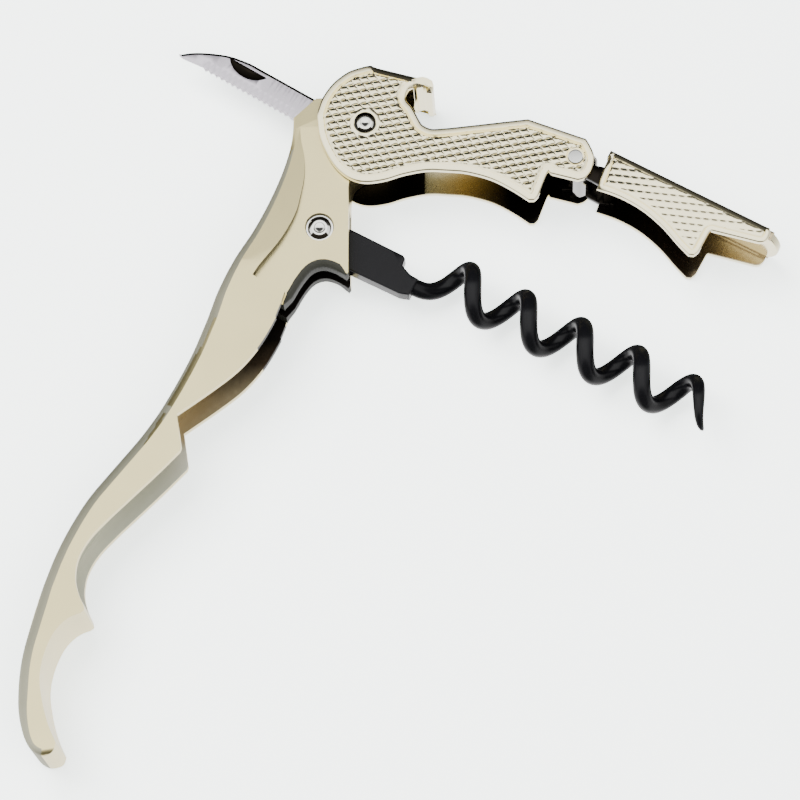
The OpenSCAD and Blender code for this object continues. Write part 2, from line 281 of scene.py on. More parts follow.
def solid(loops, low, high, low_r=0.15, high_r=0.15, steps=3, relief=None, more=(), dots=None,
          far_relief=None):
    """Points and faces of a flat piece between two heights, its edges rounded.
    high_r may be a list of arrays with a radius for each point. relief(points) raises the high face and
    far_relief(points) the low one, over the loops in more and the dots."""
    verts, faces, firsts, lasts, base = [], [], [], [], []
    start = 0
    bends = np.linspace(0, math.pi / 2, steps + 1)
    for k, loop in enumerate(loops):
        n = len(loop)
        normal = inward(loop)
        r_high = np.broadcast_to(high_r[k] if isinstance(high_r, list) else high_r, n)
        rings = [(np.full(n, low_r * (1 - math.cos(a))), np.full(n, low + low_r * (1 - math.sin(a))))
                 for a in bends[::-1]]
        rings += [(r_high * (1 - math.cos(a)), high - r_high * (1 - math.sin(a))) for a in bends]
        for d, z in rings:
            verts.append(np.column_stack([loop + normal * d[:, None], z]))
        for r in range(len(rings) - 1):
            for i in range(n):
                j = (i + 1) % n
                here, above = start + r * n, start + (r + 1) * n
                faces.append([here + i, here + j, above + j, above + i])
        firsts.append(verts[-len(rings)][:, :2])
        lasts.append(verts[-1][:, :2])
        base.append((start, start + (len(rings) - 1) * n, n))
        start += n * len(rings)
    for side, rings in enumerate((firsts, lasts)):
        own = [b[side] + i for b in base for i in range(b[2])]
        both = side == 1 or far_relief is not None
        extra, tri = fill(rings, more if both else (), dots if both else None)
        shape = relief if side else far_relief
        level = (high if side else low) + (shape(extra) if shape is not None and len(extra) else 0)
        if len(extra):
            verts.append(np.column_stack([extra, np.broadcast_to(level, len(extra))]))
        own += list(range(start, start + len(extra)))
        start += len(extra)
        faces += [[own[k] for k in (t if side else t[::-1])] for t in tri]
    return np.vstack(verts), faces


def mirrored(shape):
    """The same points and faces on the other side of the middle plane."""
    verts, faces = shape
    return verts * [1, 1, -1] + [0, 0, THICK], [f[::-1] for f in faces]


def lathe(profile, centre, sides=72):
    """Points and faces of a profile of (radius, height) turned round an upright axis. It ends on the axis."""
    rings = [(r, z) for r, z in profile if r > 0]
    spokes = [(math.cos(2 * math.pi * k / sides), math.sin(2 * math.pi * k / sides)) for k in range(sides)]
    verts = [(centre[0], centre[1], profile[0][1])]
    for r, z in rings:
        verts += [(centre[0] + r * c, centre[1] + r * s, z) for c, s in spokes]
    verts.append((centre[0], centre[1], profile[-1][1]))
    last = len(verts) - 1
    faces = []
    for k in range(sides):
        l = (k + 1) % sides
        faces.append([0, 1 + l, 1 + k])
        for r in range(len(rings) - 1):
            a, b = 1 + r * sides, 1 + (r + 1) * sides
            faces.append([a + k, a + l, b + l, b + k])
        top = 1 + (len(rings) - 1) * sides
        faces.append([last, top + k, top + l])
    return verts, faces


def add(name, shape, body, material, slot, stands_for=(), **look):
    """A finished piece: its mesh, the body that it rides on and its material. Its slot argument is not used.
    """
    piece = mesh_object(name, *shape, **look)
    piece.data.materials.append(material)
    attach(piece, body)
    if stands_for:
        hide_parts(*stands_for)
    return piece


# ---- materials ----
def metal(name, color, roughness, grain=0.0, grain_scale=5000, mottle=0.04, mottle_scale=260,
          stretch=(1, 1, 1), turn=0.0, metallic=1.0, specular=0.5, wear=None):
    """A plated or coated metal: faint mottling of colour and gloss, fine grain, and wear on edges."""
    made = bpy.data.materials.new(name)
    made.use_nodes = True
    nodes, links = made.node_tree.nodes, made.node_tree.links
    shader = nodes["Principled BSDF"]
    shader.inputs["Metallic"].default_value = metallic
    shader.inputs["Specular IOR Level"].default_value = specular
    place = nodes.new("ShaderNodeTexCoord")
    turned = nodes.new("ShaderNodeMapping")
    turned.inputs["Rotation"].default_value = (0, 0, turn)
    turned.inputs["Scale"].default_value = stretch
    links.new(place.outputs["Object"], turned.inputs["Vector"])
    broad = nodes.new("ShaderNodeTexNoise")
    broad.inputs["Scale"].default_value = mottle_scale
    broad.inputs["Detail"].default_value = 3
    links.new(place.outputs["Object"], broad.inputs["Vector"])
    fine = nodes.new("ShaderNodeTexNoise")
    fine.inputs["Scale"].default_value = grain_scale
    fine.inputs["Detail"].default_value = 2
    links.new(turned.outputs["Vector"], fine.inputs["Vector"])
    tint = nodes.new("ShaderNodeMix")
    tint.data_type = "RGBA"
    tint.inputs["A"].default_value = (*[c * (1 - mottle) for c in color], 1)
    tint.inputs["B"].default_value = (*[min(1, c * (1 + mottle)) for c in color], 1)
    links.new(broad.outputs["Fac"], tint.inputs["Factor"])
    tone = tint.outputs["Result"]
    if wear is not None:
        round_edge = nodes.new("ShaderNodeNewGeometry")
        ramp = nodes.new("ShaderNodeValToRGB")
        ramp.color_ramp.elements[0].position = 0.52
        ramp.color_ramp.elements[1].position = 0.60
        links.new(round_edge.outputs["Pointiness"], ramp.inputs["Fac"])
        worn = nodes.new("ShaderNodeMix")
        worn.data_type = "RGBA"
        worn.inputs["B"].default_value = (*wear, 1)
        links.new(ramp.outputs["Color"], worn.inputs["Factor"])
        links.new(tone, worn.inputs["A"])
        tone = worn.outputs["Result"]
    links.new(tone, shader.inputs["Base Color"])
    gloss = nodes.new("ShaderNodeMapRange")
    gloss.inputs["To Min"].default_value = roughness * 0.82
    gloss.inputs["To Max"].default_value = roughness * 1.18
    links.new(fine.outputs["Fac"], gloss.inputs["Value"])
    links.new(gloss.outputs["Result"], shader.inputs["Roughness"])
    if grain:
        bump = nodes.new("ShaderNodeBump")
        bump.inputs["Strength"].default_value = grain
        bump.inputs["Distance"].default_value = 0.00002
        links.new(fine.outputs["Fac"], bump.inputs["Height"])
        links.new(bump.outputs["Normal"], shader.inputs["Normal"])
    return made


# Tones of painted reflection and shade for the inside faces. The black, brown, tan and gold stand for shade
# and for dark and warm things mirrored there. The rough tone is the rough casting's own colour and is also
# used as a reflected tone. The channel tone is the satin channel's colour, painted lighter against the shade
# in the bay.
REFLECTION_AND_SHADE_BLACK = (0.012, 0.010, 0.008)
REFLECTION_AND_SHADE_BROWN = (0.07, 0.05, 0.03)
REFLECTED_TAN = (0.50, 0.46, 0.30)
REFLECTED_GOLD = (0.42, 0.32, 0.13)
ROUGH_CAST_AND_REFLECTED = (0.46, 0.38, 0.23)
SATIN_CHANNEL_LIT = (0.66, 0.66, 0.56)


def inside_with_painted_reflection(name, stops, axis="X", roughness=0.26, grain=0.4):
    """A surface inside the tool with painted reflection and shade: the dark and brown things round it are
    painted as tones along one axis.
    """
    made = metal(name, REFLECTED_TAN, roughness, grain=grain, grain_scale=1500)
    nodes, links = made.node_tree.nodes, made.node_tree.links
    place = nodes.new("ShaderNodeTexCoord")
    split = nodes.new("ShaderNodeSeparateXYZ")
    links.new(place.outputs["Object"], split.inputs["Vector"])
    along = nodes.new("ShaderNodeMapRange")
    along.inputs["From Min"].default_value = stops[0][0] * MM
    along.inputs["From Max"].default_value = stops[-1][0] * MM
    links.new(split.outputs[axis], along.inputs["Value"])
    ramp = nodes.new("ShaderNodeValToRGB")
    while len(ramp.color_ramp.elements) < len(stops):
        ramp.color_ramp.elements.new(0.5)
    for element, (x, tone) in zip(ramp.color_ramp.elements, stops):
        element.position = (x - stops[0][0]) / (stops[-1][0] - stops[0][0])
        element.color = (*tone, 1)
    links.new(along.outputs["Result"], ramp.inputs["Fac"])
    links.new(ramp.outputs["Color"], nodes["Principled BSDF"].inputs["Base Color"])
    return made


satin = metal("satin_nickel", (0.80, 0.70, 0.36), 0.30, grain=0.35, mottle=0.16, mottle_scale=55)
# The bay: its satin lower end painted lighter against its shade, the rough casting above, then painted shade
# and reflection darkening to black towards its top.
bay_with_painted_shade = inside_with_painted_reflection("bay_rough_painted_shade", [(MAIN[1] - 60, SATIN_CHANNEL_LIT), (MAIN[1] - 50, SATIN_CHANNEL_LIT), (MAIN[1] - 48, ROUGH_CAST_AND_REFLECTED),
                                    (MAIN[1] - 41, ROUGH_CAST_AND_REFLECTED), (MAIN[1] - 36, REFLECTION_AND_SHADE_BROWN), (MAIN[1] - 32, REFLECTION_AND_SHADE_BLACK)],
                    "Y", 0.45, 1.0)
# A black painted as shade on the recess walls, the rivet seat, the faces round the main rivet and the nail
# nick, and painted as reflection on the rivet cones and the knife's spine.
shade_and_reflection_black = metal("black_painted_shade_and_reflection", (0.018, 0.015, 0.011), 0.45, grain=0.3)
# A dark tone painted on the arch at the bolster's foot as shade.
arch_painted_shade = metal("arch_dark_painted_shade", (0.018, 0.018, 0.014), 0.5, grain=0.3, metallic=0.0, specular=0.2)
# The round along the back: rougher, and painted darker and greyer as shade.
back_round_shade = metal("back_round_painted_shade", (0.50, 0.49, 0.37), 0.62, grain=0.4)
bright = metal("bright_nickel", (0.95, 0.87, 0.58), 0.12, grain=0.05, mottle=0.03)
# The lever's nickel less polished, and painted darker and browner as shade, for the shoulder web.
shaded_inner_nickel = metal("shaded_inner_nickel", (0.62, 0.52, 0.33), 0.24, grain=0.25, grain_scale=1200, mottle=0.25,
                     mottle_scale=220)
rivet_metal = metal("rivet_nickel", (0.86, 0.86, 0.80), 0.12, grain=0.15, grain_scale=2200)
disc_metal = metal("rivet_disc", (0.62, 0.63, 0.60), 0.28, grain=0.3, grain_scale=1600, mottle=0.15,
                   mottle_scale=900)
chrome = metal("spring_chrome", (0.30, 0.29, 0.27), 0.08, grain=0.05)
spring_steel = metal("spring_steel", (0.42, 0.43, 0.46), 0.3, grain=0.3, stretch=(1, 1, 12))
blade_steel = metal("blade_steel", (0.66, 0.62, 0.68), 0.36, grain=0.5, grain_scale=2600, stretch=(1, 14, 1),
                    turn=-KNIFE_DIR)
brass = metal("brass_washer", (0.78, 0.60, 0.30), 0.3, grain=0.3)
black = metal("black_coating", (0.002, 0.002, 0.0025), 0.24, grain=0.12, grain_scale=3000, metallic=0.0,
              specular=0.16, wear=(0.006, 0.006, 0.007))


# ---- handle ----
BACK_TOP = MAIN + [-11.3, 1.5]
TAIL_TIP = MAIN + [-47.0, -99.55]
ARCH_START = MAIN + [-13.6, -31.9]
ARCH_END = MAIN + [-2.9, -24.7]
CREASE_Y = MAIN[1] - 22.5
STRIP_Y = MAIN[1]


def stretch_of(loop, start, end):
    """The points of a loop from the one nearest start to the one nearest end, the way that the loop runs."""
    a = int(np.hypot(*(loop - start).T).argmin())
    b = int(np.hypot(*(loop - end).T).argmin())
    return np.roll(loop, -a, 0)[:(b - a) % len(loop) + 1]


def sweep(path, radii, tops, side):
    """Points and faces of a bar along a path that cuts a round into one face's edge, on the path's right."""
    ahead = np.gradient(path, axis=0)
    ahead /= np.hypot(*ahead.T)[:, None]
    out = np.stack([ahead[:, 1], -ahead[:, 0]], 1)
    curve = np.linspace(0, 1, 8)
    verts, faces = [], []
    for p, o, r, top in zip(path, out, radii, tops):
        deep = 1.2 * r
        ring = [(-r, 1.5)]
        for t in curve:
            ring.append((-r * (1 - t) + 0.02 * t, -deep * (0.3 * t + 0.7 * (1 - math.sqrt(1 - t * t)))))
        ring += [(0.9, -deep), (0.9, 1.5)]
        for n, z in ring:
            height = top + z
            verts.append((p[0] + n * o[0], p[1] + n * o[1], height if side > 0 else THICK - height))
    m = len(ring)
    for i in range(len(path) - 1):
        for k in range(m):
            l = (k + 1) % m
            faces.append([i * m + k, i * m + l, (i + 1) * m + l, (i + 1) * m + k])
    last = (len(path) - 1) * m
    faces += [list(range(m))[::-1], [last + k for k in range(m)]]
    return verts, faces


def edge_cutter(outline):
    """The rounds along the handle's back and along the arch at the bolster's foot, on both faces."""
    back = stretch_of(outline, BACK_TOP, TAIL_TIP)
    run_out = back[-1] - back[-2]
    back = np.vstack([back, back[-1] + 2.5 * run_out / np.hypot(*run_out)])
    widths = {TAIL_TIP[1] + 1: 0.9, TAIL_TIP[1] + 9: 1.75, CREASE_Y - 9: 1.75, STRIP_Y - 4: 0.7}
    back_r = np.interp(back[:, 1], list(widths), list(widths.values()))
    back_r = back_r * np.interp(np.arange(len(back)), [0, 5], [0.15, 1])
    back_top = THICK - np.maximum(0, back[:, 1] - CREASE_Y) * BOLSTER / (STRIP_Y - CREASE_Y)
    arch = even(smooth(outline), 0.5)
    arch = stretch_of(arch, ARCH_START, ARCH_END)
    ends = np.minimum(np.arange(len(arch)), np.arange(len(arch))[::-1])
    arch_r = 1.0 * np.interp(ends, [0, 4], [0.1, 1])
    arch_top = np.full(len(arch), THICK - BOLSTER)
    shape = bmesh.new()
    for path, radii, tops in ((back, back_r, back_top), (arch, arch_r, arch_top)):
        for side in (1, -1):
            bar = bmesh.new()
            verts, faces = sweep(path, radii, tops, side)
            made = [bar.verts.new([c * MM for c in v]) for v in verts]
            for face in faces:
                bar.faces.new([made[k] for k in face])
            bmesh.ops.recalc_face_normals(bar, faces=bar.faces)
            mesh = bpy.data.meshes.new("bar")
            bar.to_mesh(mesh)
            shape.from_mesh(mesh)
    mesh = bpy.data.meshes.new("cutter")
    shape.to_mesh(mesh)
    cutter = bpy.data.objects.new("cutter", mesh)
    bpy.context.scene.collection.objects.link(cutter)
    return cutter


def copy_of(node, name):
    """A piece that starts from a CAD node's mesh, its seams welded."""
    mesh = frame["nodes"][node].data.copy()
    mesh.name = name
    mesh.materials.clear()
    shape = bmesh.new()
    shape.from_mesh(mesh)
    bmesh.ops.remove_doubles(shape, verts=shape.verts, dist=0.002 * MM)
    shape.to_mesh(mesh)
    shape.free()
    piece = bpy.data.objects.new(name, mesh)
    bpy.context.scene.collection.objects.link(piece)
    return piece


def settle(piece):
    """Applies a piece's modifiers."""
    ready = bpy.data.meshes.new_from_object(piece.evaluated_get(bpy.context.evaluated_depsgraph_get()))
    piece.modifiers.clear()
    piece.data = ready
    return piece


def soften(piece, width=0.2, angle=36, segments=2):
    """Small rounds on a piece's sharp edges."""
    bevel = piece.modifiers.new("edges", "BEVEL")
    bevel.width = width * MM
    bevel.segments = segments
    bevel.limit_method = "ANGLE"
    bevel.angle_limit = math.radians(angle)
    bevel.use_clamp_overlap = True
    bevel.harden_normals = False
    piece.modifiers.new("normals", "WEIGHTED_NORMAL").keep_sharp = True


def dissolve(piece, angle=0.6):
    """Joins a piece's triangles into the flat faces that they lie on."""
    shape = bmesh.new()
    shape.from_mesh(piece.data)
    bmesh.ops.remove_doubles(shape, verts=shape.verts, dist=0.003 * MM)
    bmesh.ops.dissolve_limit(shape, angle_limit=math.radians(angle), verts=shape.verts, edges=shape.edges)
    shape.to_mesh(piece.data)
    shape.free()


def paint_handle(mesh):
    """The bay is rough, its lower end smooth and painted lighter against its shade, and painted shade and
    reflection darken the rest of it towards its top. The walls of the recess and of the worm rivet's seat are
    painted black as shade.
    The arch at the bolster's foot is painted darker than the faces as shade, and the round along the back is
    duller and painted darker as shade."""
    for material in (satin, bay_with_painted_shade, shade_and_reflection_black, arch_painted_shade, back_round_shade):
        mesh.materials.append(material)
    in_bay, shaded_wall_slot, shaded_arch_slot, shaded_back_slot = 1, 2, 3, 4
    flat_from = 0.97
    outline = section("handle_body", 0.6)
    centres = np.array([tuple(f.center / MM) for f in mesh.polygons])
    normals = np.array([tuple(f.normal) for f in mesh.polygons])
    x, y, z = centres.T
    deep = distance(centres[:, :2], outline) * np.where(inside(centres[:, :2], outline), 1, -1)
    height = np.maximum(z, THICK - z)
    outward = normals[:, 2] * np.sign(z - MID)
    bay = (deep > 0.3) & (height < THICK - PLATE + 0.1) & (y < WORM[1] - 12) & (y > TAIL_TIP[1] + 22)
    upright = np.abs(normals[:, 2]) < 0.6
    bay &= ~(upright & (normals[:, 0] < 0.05))
    from_side = distance(centres[:, :2], section("handle_body", 9.2))
    wall = upright & (from_side > 0.5) & (height > THICK - BOLSTER + 0.02) & (y > CREASE_Y - 14)
    seat = upright & (np.hypot(x - WORM[0], y - WORM[1]) < 2.6)
    arch = (y > CREASE_Y - 12) & (y < CREASE_Y + 2) & (x > WORM[0] - 8) & (deep < 1.1)
    arch &= (outward < flat_from) & (height < THICK - BOLSTER + 0.01)
    back = (deep < 1.9) & (outward < flat_from) & (normals[:, 0] < -0.1) & (y < WORM[1] + 12)
    # Painted shade: the bay darkens towards its top, the recess walls and the rivet seat are black, and the
    # arch and the back round are darker.
    tone = np.zeros(len(centres), int)
    tone[back] = shaded_back_slot
    tone[bay | (outward < -0.5) & (height < THICK - PLATE + 0.1)] = in_bay
    tone[wall | seat] = shaded_wall_slot
    tone[arch] = shaded_arch_slot
    mesh.polygons.foreach_set("material_index", tone.astype(np.int32))


def make_handle():
    """The die-cast handle: the CAD form with a broad round along its back, its bay left rough, and painted
    shade on its bay, recess walls and arch.
    """
    piece = copy_of("handle_body", "handle_casting")
    cutter = edge_cutter(max(section("handle_body", 9.2), key=len))
    cut = piece.modifiers.new("round", "BOOLEAN")
    cut.operation = "DIFFERENCE"
    cut.solver = "EXACT"
    cut.object = cutter
    bpy.context.view_layer.update()
    settle(piece)
    bpy.data.objects.remove(cutter)
    dissolve(piece)
    paint_handle(piece.data)
    piece.data.shade_smooth()
    piece.data.set_sharp_from_angle(angle=math.radians(30))
    soften(piece)
    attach(piece, "handle")
    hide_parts("handle_body")


# ---- levers ----
ROW_ANGLE = math.radians(9.4)
ROW_GAP = 1.10
BUMP = 1.29
SLANT = 0.41


class Knurl:
    """Rows of small raised scales. Each row starts a little to one side of the last, with broken grooves."""

    def __init__(self, angle, height, origin):
        self.along = np.array([math.cos(angle), math.sin(angle)])
        self.across = np.array([-math.sin(angle), math.cos(angle)])
        self.height, self.origin = height, origin

    def relief(self, points):
        p = points - self.origin
        v = p @ self.across / ROW_GAP
        u = p @ self.along / BUMP + SLANT * v
        fv, fu = v - np.floor(v), u - np.floor(u)
        groove = 1 - np.clip(np.minimum(fv / 0.2, (1 - fv) / 0.34), 0, 1)
        dash = np.clip(np.minimum((fu - 0.08) / 0.10, (0.86 - fu) / 0.12), 0, 1)
        groove *= 0.30 + 0.70 * dash
        slot = 0.42 * (1 - np.clip(np.minimum(fu / 0.10, (1 - fu) / 0.14), 0, 1))
        return self.height * (1 - np.maximum(groove, slot))

    def dots(self, low, high, per_bump=8, per_row=8):
        """Points on a grid in line with the rows, over a box."""
        corners = np.array([[x, y] for x in (low[0], high[0]) for y in (low[1], high[1])]) - self.origin
        us, vs = corners @ self.along, corners @ self.across
        spans = []
        for values, gap, per in ((us, BUMP, per_bump), (vs, ROW_GAP, per_row)):
            first, last = math.floor(values.min() / gap) * per, math.ceil(values.max() / gap) * per
            spans.append(np.arange(first, last) * gap / per)
        grid = np.stack(np.meshgrid(*spans, indexing="ij"), -1).reshape(-1, 2)
        return self.origin + grid[:, :1] * self.along + grid[:, 1:] * self.across


def lever_plate(loops, web_loops, rim, knurl, bend_r, edge_r, pads, fade=None, bend_at=(),
                bend_from=-1e9, bend_to=1e9):
    """A pressed plate: a bend along each web, a plain rim, an engraved line and a knurled panel.
    pads are (centre, radius, drop) of flat rings round the rivets."""
    loops = [smooth(l) for l in loops]
    outer = [max(loops, key=lambda l: np.ptp(l[:, 0]))]
    radii = []
    for loop in loops:
        near = np.full(len(loop), edge_r)
        if loop is outer[0]:
            bent = (loop[:, 0] > bend_from) & (loop[:, 0] < bend_to)
            near[(distance(loop, web_loops) < 0.12) & bent] = bend_r
            for centre, reach in bend_at:
                near[np.hypot(*(loop - centre).T) < reach] = bend_r
            for _ in range(4):
                near = (np.roll(near, 1) + near * 2 + np.roll(near, -1)) / 4
        radii.append(near)
    line_w, line_deep, panel = 0.16, 0.26, knurl.height + 0.01
    rings = inset(outer, [rim - line_w, rim, rim + line_w])
    low, high = outer[0].min(0), outer[0].max(0)
    grid = knurl.dots(low, high)
    grid = grid[inside(grid, outer)]
    grid = grid[distance(grid, outer) > rim + line_w + 0.08]
    pad_rings = []
    for centre, radius, _ in pads:
        for r in (radius - 0.05, radius + 0.05):
            a = np.linspace(0, 2 * math.pi, 40, endpoint=False)
            pad_rings.append(np.array(centre) + r * np.stack([np.cos(a), np.sin(a)], 1))
        grid = grid[np.hypot(*(grid - centre).T) > radius + 0.12]

    def relief(points):
        d = distance(points, outer)
        shape = np.where(d < rim, -line_deep * np.clip((d - rim + line_w) / line_w, 0, 1),
                         -line_deep + (line_deep - panel) * np.clip((d - rim) / line_w, 0, 1))
        strength = np.clip((d - rim - line_w) / 0.2, 0, 1)
        if fade is not None:
            strength = strength * fade(points)
        shape = shape + strength * knurl.relief(points)
        for centre, radius, drop in pads:
            away = np.hypot(*(points - centre).T)
            shape = np.where(away < radius + 0.01, -drop, shape)
        return np.minimum(shape, 0.0)

    more = [l for level in rings for l in level] + pad_rings
    return solid(loops, THICK - PLATE, THICK, 0.12, radii, steps=5, relief=relief, more=more, dots=grid)


def plate_pieces(body, near, inside_reflection):
    """A lever's two plates. The faces that look at each other take the inside material with its painted
    reflection, and the upright faces round the main rivet are painted black as shade.
    """
    for side, shape in (("near", near), ("far", mirrored(near))):
        stands_for = [body] if side == "near" else ()
        piece = add(f"{body}_{side}_plate", shape, body, bright, "bright_nickel", stands_for)
        piece.data.materials.append(inside_reflection)
        piece.data.materials.append(shade_and_reflection_black)
        for face in piece.data.polygons:
            # Faces that look at each other take the painted reflection; upright faces round the main rivet
            # are painted black as shade.
            to_middle = MID - face.center.z / MM
            if face.normal.z * to_middle > 0 and abs(to_middle) < MID - PLATE + 0.02:
                face.material_index = 1
            x, y = face.center.x / MM - MAIN[0], face.center.y / MM - MAIN[1]
            if abs(face.normal.z) < 0.75 and math.hypot(x, y) < 2.6:
                face.material_index = 2


def make_first_lever():
    """Two knurled plates joined by the crown web with its cap lifter and by the shoulder web."""
    plate_cut = section("first_lever", THICK - PLATE / 2 - 0.2)
    webs = section("first_lever", MID)
    knurl = Knurl(ROW_ANGLE, 0.2, MAIN)
    pads = [(MAIN, 2.35, 0.02), (HINGE, 1.45, 0.14)]
    near = lever_plate(plate_cut, webs, 1.12, knurl, 1.25, 0.32, pads, bend_from=MAIN[0] + 0.9,
                       bend_to=MAIN[0] + 13)
    # The inside faces carry painted reflection: black near the pivot, then tan and gold, dark again towards
    # the far end.
    reflection_dark_end, reflection_far_end = MAIN[0] + 9.0, MAIN[0] + 22.5
    inside_reflection = inside_with_painted_reflection("first_lever_inside_painted_reflection", [(MAIN[0], REFLECTION_AND_SHADE_BLACK), (reflection_dark_end - 0.1, REFLECTION_AND_SHADE_BLACK), (reflection_dark_end + 0.1, REFLECTED_TAN),
                                            (reflection_dark_end + 6, REFLECTED_GOLD), (reflection_far_end, REFLECTION_AND_SHADE_BLACK)])
    plate_pieces("first_lever", near, inside_reflection)
    # The shoulder web takes the nickel painted darker and browner as shade.
    kinds = (("first_lever_crown_web", bright), ("first_lever_shoulder_web", shaded_inner_nickel))
    for web, (name, material) in zip(sorted(webs, key=lambda l: l[:, 0].min()), kinds):
        shape = solid([smooth(web, 0.25)], PLATE - 0.15, THICK - PLATE + 0.15, 0.03, 0.03, steps=1)
        add(name, shape, "first_lever", material, "bright_nickel")


def make_second_lever():
    """Two knurled plates on a web that ends in a rounded tongue, with ears inside the first lever."""
    plate_cut = section("second_lever", THICK - PLATE / 2 - 0.2)
    web = max(section("second_lever", MID), key=len)
    turn = math.radians(-28.7)
    along = np.array([math.cos(turn), math.sin(turn)])
    up = np.array([-along[1], along[0]])
    spread = (web - HINGE) @ up
    s = (web - HINGE) @ along
    knurl = Knurl(ROW_ANGLE - math.radians(17), 0.13, HINGE)

    def fade(points):
        """The pattern is worn soft towards the tip."""
        t = (points - HINGE) @ along
        return np.interp(t, [5, 9, 14, 33], [1.0, 0.75, 0.4, 0.35])

    outline = max(plate_cut, key=len)
    start = outline[((outline - HINGE) @ along).argmin()]
    ends = [(p, 1.2) for p in outline if (p - HINGE) @ along < (start - HINGE) @ along + 2.0]
    near = lever_plate(plate_cut, [web], 0.85, knurl, 0.9, 0.28, [], fade=fade, bend_at=ends)
    # The inside faces, ears and steps carry painted reflection: black near the hinge, through brown to the
    # rough tone further out.
    inside_reflection = inside_with_painted_reflection("second_lever_inside_painted_reflection", [(HINGE[0] + 8, REFLECTION_AND_SHADE_BLACK), (HINGE[0] + 17, REFLECTION_AND_SHADE_BROWN),
                                             (HINGE[0] + 24, ROUGH_CAST_AND_REFLECTED)])
    plate_pieces("second_lever", near, inside_reflection)
    ear_low, ear_high = THICK - PLATE - 1.25, THICK - PLATE - 0.15
    ears = [smooth(l, 0.25) for l in section("second_lever", (ear_low + ear_high) / 2)]
    ear_shape = solid(ears, ear_low, ear_high, 0.12, 0.12, steps=2)
    add("second_lever_near_ear", ear_shape, "second_lever", inside_reflection, "bright_nickel")
    add("second_lever_far_ear", mirrored(ear_shape), "second_lever", inside_reflection, "bright_nickel")
    link_loops = section("second_lever", THICK - PLATE - 0.07)
    joint = [smooth(l, 0.25) + inward(smooth(l, 0.25)) * 0.04 for l in link_loops]
    step_shape = solid(joint, ear_high - 0.1, THICK - PLATE + 0.1, 0.02, 0.02, steps=1)
    add("second_lever_near_step", step_shape, "second_lever", inside_reflection, "bright_nickel")
    add("second_lever_far_step", mirrored(step_shape), "second_lever", inside_reflection, "bright_nickel")
    # the web is drawn in its own plane: along the lever, and across its thickness
    tongue_out, tongue_r, half = 2.3, 6.6, MID - PLATE + 0.15
    web_start, web_end = s.min(), s.max() - tongue_out
    half_turn = math.asin(half / tongue_r)
    arc = [(web_end + tongue_out - tongue_r + tongue_r * math.cos(a), tongue_r * math.sin(a))
           for a in np.linspace(-half_turn, half_turn, 15)]
    flat = np.array([(web_start, -half)] + arc + [(web_start, half)])
    verts, faces = solid([even(flat, 0.5)], -PLATE / 2, PLATE / 2, 0.25, 0.25, steps=3)
    centre_line = (spread.max() + spread.min()) / 2
    placed = [(*(HINGE + along * v[0] + up * (centre_line + v[2])), MID - v[1]) for v in verts]
    add("second_lever_web", (placed, faces), "second_lever", bright, "bright_nickel")


# ---- pivots ----
def head(shank, rim, low, high):
    """Profile of a rivet with a dimpled boss, a cone round it and a flat collar, at each end."""
    one = [(0.0, 0.20), (0.22, 0.18), (0.38, 0.07), (0.60, 0.03), (0.70, 0.12), (0.80, 0.05), (1.00, 0.05),
           (1.12, 0.10), (1.50, 0.50), (1.57, 0.53), (1.64, 0.46), (1.80, 0.44), (1.88, 0.48), (1.90, 0.54)]
    one = [(r * rim / 1.9, d) for r, d in one] + [(shank, 0.56)]
    return [(r, low + d) for r, d in one] + [(r, high - d) for r, d in reversed(one)]


def paint_cone_reflection(piece, centre, rim):
    """The cone round a rivet's boss is painted black where it faces along Y: a painted reflection of the dark
    ends of the room.
    """
    piece.data.materials.append(shade_and_reflection_black)
    for face in piece.data.polygons:
        x, y = face.center.x / MM - centre[0], face.center.y / MM - centre[1]
        reach = math.hypot(x, y) * 1.9 / rim
        if 1.1 < reach < 1.6 and abs(y) > 0.62 * math.hypot(x, y):
            face.material_index = 1


def make_rivets():
    """The two pivot rivets with dished heads, and the flat disc of the hinge rivet."""
    shank, main_rim, worm_rim = 1.5, 1.92, 2.2
    shape = lathe(head(shank, main_rim, 0.0, THICK), MAIN)
    main = add("main_rivet", shape, "main_pivot", rivet_metal, "rivet_nickel", ["main_pivot_rivet"],
               weighted=False)
    # Painted reflection: dark crescents on each rivet head's cone, here and on the worm rivet.
    paint_cone_reflection(main, MAIN, main_rim)
    shape = lathe(head(shank, worm_rim, BOLSTER, THICK - BOLSTER), WORM)
    worm = add("worm_rivet", shape, "handle", rivet_metal, "rivet_nickel", ["worm_pivot_rivet"],
               weighted=False)
    paint_cone_reflection(worm, WORM, worm_rim)
    disc = [(0, 0.03), (0.9, 0.03), (1.12, 0.05), (1.22, 0.1), (1.22, 0.13), (0.94, 0.14)]
    profile = disc + [(r, THICK - d) for r, d in reversed(disc)]
    add("hinge_rivet_disc", lathe(profile, HINGE), "first_lever", disc_metal, "rivet_nickel",
        ["hinge_rivet"], weighted=False)


def make_spring():
    """The leaf spring at the second hinge."""
    low, high = (c.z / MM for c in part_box("hinge_spring"))
    loops = [smooth(l, 0.2, corner=60) for l in section("hinge_spring", MID)]
    add("hinge_leaf_spring", solid(loops, low, high, 0.08, 0.08, steps=2), "first_lever", chrome,
        "spring_chrome", ["hinge_spring"])


# ---- worm ----
def in_worm_frame(x, y, z):
    """A point given along, across and out of the open worm, in the part's frame."""
    c, s = math.cos(WORM_DIR), math.sin(WORM_DIR)
    return (WORM[0] + c * x - s * y, WORM[1] + s * x + c * y, MID + z)


